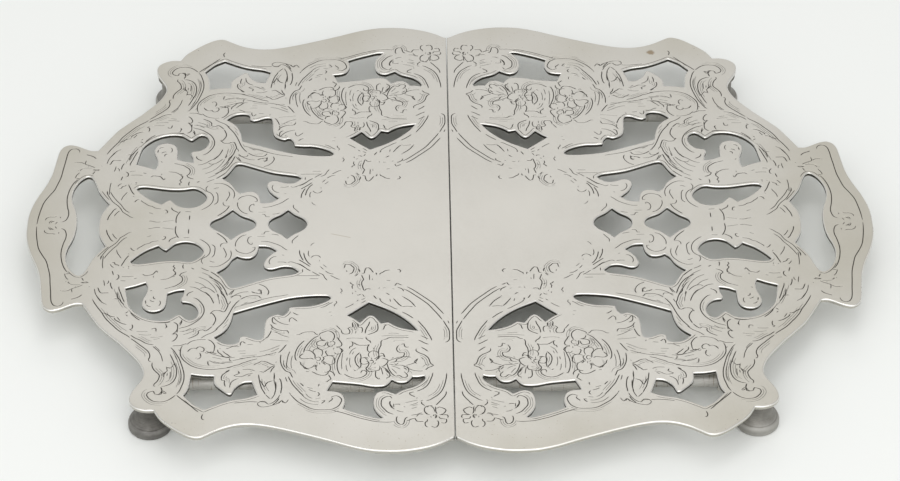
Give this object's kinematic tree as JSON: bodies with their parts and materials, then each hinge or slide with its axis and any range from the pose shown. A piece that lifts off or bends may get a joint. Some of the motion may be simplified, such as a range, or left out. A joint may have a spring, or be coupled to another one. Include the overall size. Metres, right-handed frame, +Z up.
{
  "type": "expanding trivet",
  "caption": "Oval silver plated trivet in halves, pierced and engraved, with pierced handles and turned feet, that draws apart on slide rods to take a larger dish",
  "frame": {"origin": "On the surface it stands on, under the middle of the seam, at the centre of the closed trivet", "axes": "+X runs from the left handle to the right one, which is the way the halves draw apart; +Y runs to the back along the seam; +Z is up"},
  "size_m": [0.33, 0.254, 0.016],
  "materials": {
    "silver_plate": "worn silver plate, engraved, bright satin",
    "turned_foot": "turned and silver plated, satin",
    "rod_metal": "drawn and polished, slightly dulled",
    "tube_metal": "drawn tube, silver plated, satin",
    "pin_metal": "dull cut wire"
  },
  "bodies": {
    "left_half": {"left_plate": "silver_plate", "front_left_foot": "turned_foot", "front_left_sleeve": "tube_metal", "front_left_inner_post": "tube_metal", "front_left_outer_post": "tube_metal", "back_left_foot": "turned_foot", "back_left_sleeve": "tube_metal", "back_left_inner_post": "tube_metal", "back_left_outer_post": "tube_metal"},
    "right_half": {"right_plate": "silver_plate", "front_right_foot": "turned_foot", "front_right_sleeve": "tube_metal", "front_right_inner_post": "tube_metal", "front_right_outer_post": "tube_metal", "back_right_foot": "turned_foot", "back_right_sleeve": "tube_metal", "back_right_inner_post": "tube_metal", "back_right_outer_post": "tube_metal"},
    "front_slide": {"front_rod": "rod_metal", "front_left_collar": "tube_metal", "front_left_collar_pin": "pin_metal", "front_left_stop_pin": "pin_metal", "front_right_collar": "tube_metal", "front_right_collar_pin": "pin_metal", "front_right_stop_pin": "pin_metal"},
    "back_slide": {"back_rod": "rod_metal", "back_left_collar": "tube_metal", "back_left_collar_pin": "pin_metal", "back_left_stop_pin": "pin_metal", "back_right_collar": "tube_metal", "back_right_collar_pin": "pin_metal", "back_right_stop_pin": "pin_metal"}
  },
  "joints": [
    {"name": "left_draw", "type": "slide", "parent": "left_half", "child": "front_slide", "axis": [1, 0, 0], "range_m": [0, 0.048]},
    {"name": "back_left_draw", "type": "slide", "parent": "left_half", "child": "back_slide", "axis": [1, 0, 0], "range_m": [0, 0.048]},
    {"name": "right_draw", "type": "slide", "parent": "front_slide", "child": "right_half", "axis": [1, 0, 0], "range_m": [0, 0.048]}
  ],
  "couplings": [
    {"joint": "back_left_draw", "follows": "left_draw", "ratio": 1}
  ]
}
